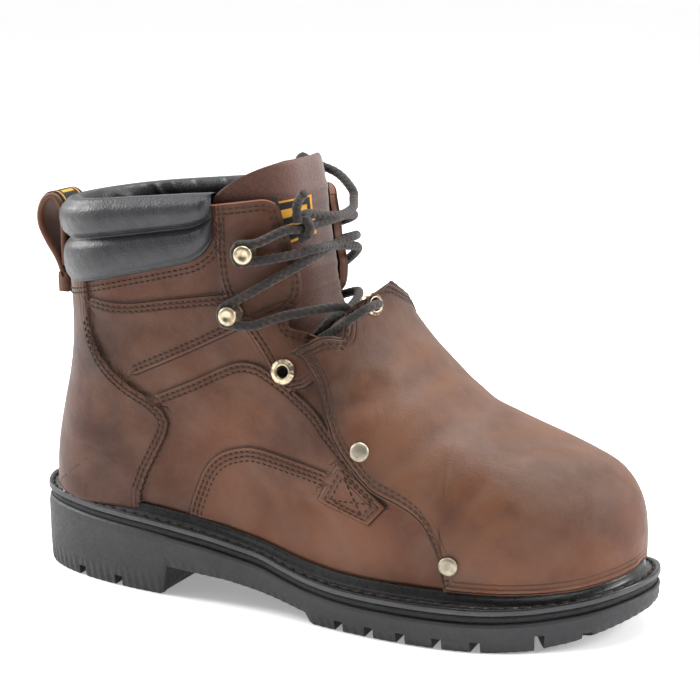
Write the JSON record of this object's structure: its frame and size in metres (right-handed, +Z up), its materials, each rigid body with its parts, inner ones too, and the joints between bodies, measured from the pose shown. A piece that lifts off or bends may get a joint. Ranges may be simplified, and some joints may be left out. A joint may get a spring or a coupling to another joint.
{
  "type": "work boot",
  "caption": "Right ankle-high leather work boot with a leather guard flap over the instep, padded collar, storm welt and lugged rubber sole, laced with hooks.",
  "frame": {"origin": "on the floor under the middle of the heel's flat underside", "axes": "+X to the toe, +Y to the medial side (left of the boot seen from behind), +Z up"},
  "size_m": [0.3153, 0.1124, 0.2043],
  "materials": {
    "brown_leather": "oiled, matt",
    "collar_leather": "satin, fine grain",
    "tongue_suede": "suede",
    "sole_rubber": "matt",
    "midsole_rubber": "matt",
    "welt_rubber": "semi-gloss",
    "insole_fabric": "woven",
    "antique_brass": "satin, darkened",
    "lace_fabric": "braided"
  },
  "bodies": {
    "root": {"upper": "brown_leather", "heel_counter": "brown_leather", "facing_lateral": "brown_leather", "facing_medial": "brown_leather", "side_tab_lateral": "brown_leather", "side_tab_medial": "brown_leather", "metatarsal_guard": "brown_leather", "pull_loop": "brown_leather", "padded_collar": "collar_leather", "tongue": "tongue_suede", "outsole": "sole_rubber", "midsole": "midsole_rubber", "welt": "welt_rubber", "insole": "insole_fabric", "boot_eyelet_lateral": "antique_brass", "boot_eyelet_medial": "antique_brass", "guard_eyelet_lateral_upper": "antique_brass", "guard_eyelet_medial_upper": "antique_brass", "guard_rivet_lateral_lower": "antique_brass", "guard_rivet_lateral_upper": "antique_brass", "guard_rivet_medial_lower": "antique_brass", "guard_rivet_medial_upper": "antique_brass", "hook_lateral_lower": "antique_brass", "hook_lateral_upper": "antique_brass", "hook_medial_lower": "antique_brass", "hook_medial_upper": "antique_brass", "lace_crossings": "lace_fabric", "lace_stub": "lace_fabric", "lace_tail": "lace_fabric"}
  },
  "joints": []
}
